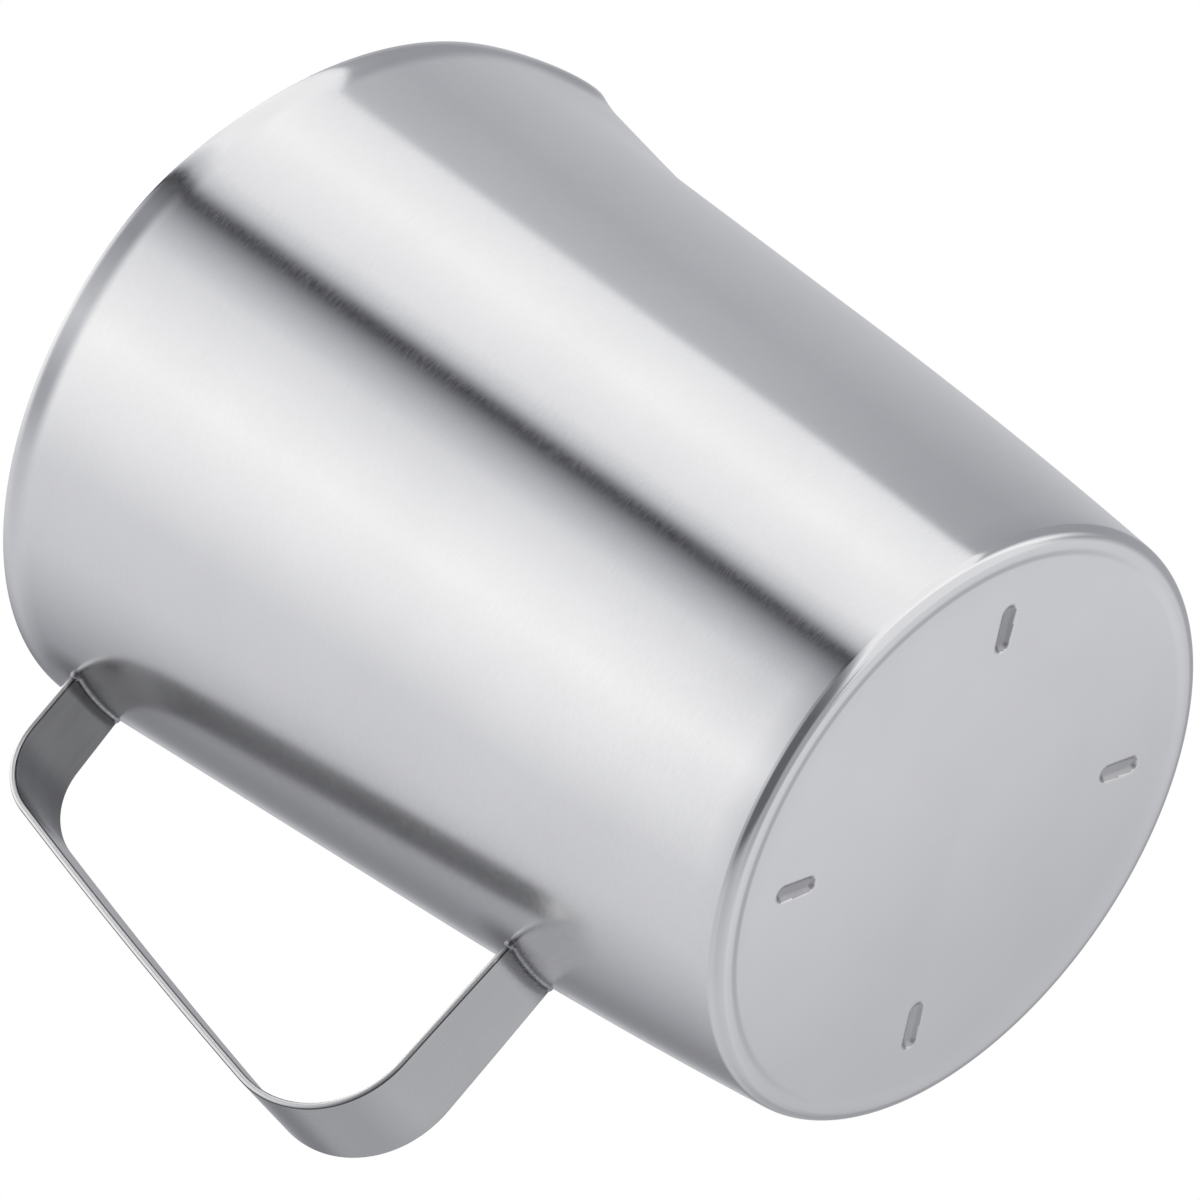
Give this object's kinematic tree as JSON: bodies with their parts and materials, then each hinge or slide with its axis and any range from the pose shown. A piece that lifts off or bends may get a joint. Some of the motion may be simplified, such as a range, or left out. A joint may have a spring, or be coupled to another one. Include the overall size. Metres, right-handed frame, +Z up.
{
  "type": "measuring jug",
  "caption": "Drawn stainless steel measuring jug with tapered wall, pressed pouring spout, inside level marks and a welded strap handle.",
  "frame": {"origin": "on the axis of the wall, in the plane the jug stands on", "axes": "+Z up along the axis of the wall, +X towards the spout, so the handle is on the -X side"},
  "size_m": [0.1492, 0.1138, 0.138],
  "materials": {
    "drawn_steel": "fine circumferential brushing, satin",
    "strap_steel": "satin along the strip, edges rounded and bright",
    "weld_steel": "bright weld metal, lightly dressed"
  },
  "bodies": {
    "root": {"body": "drawn_steel", "handle_strap": "strap_steel", "upper_weld": "weld_steel", "lower_weld": "weld_steel"}
  },
  "joints": []
}
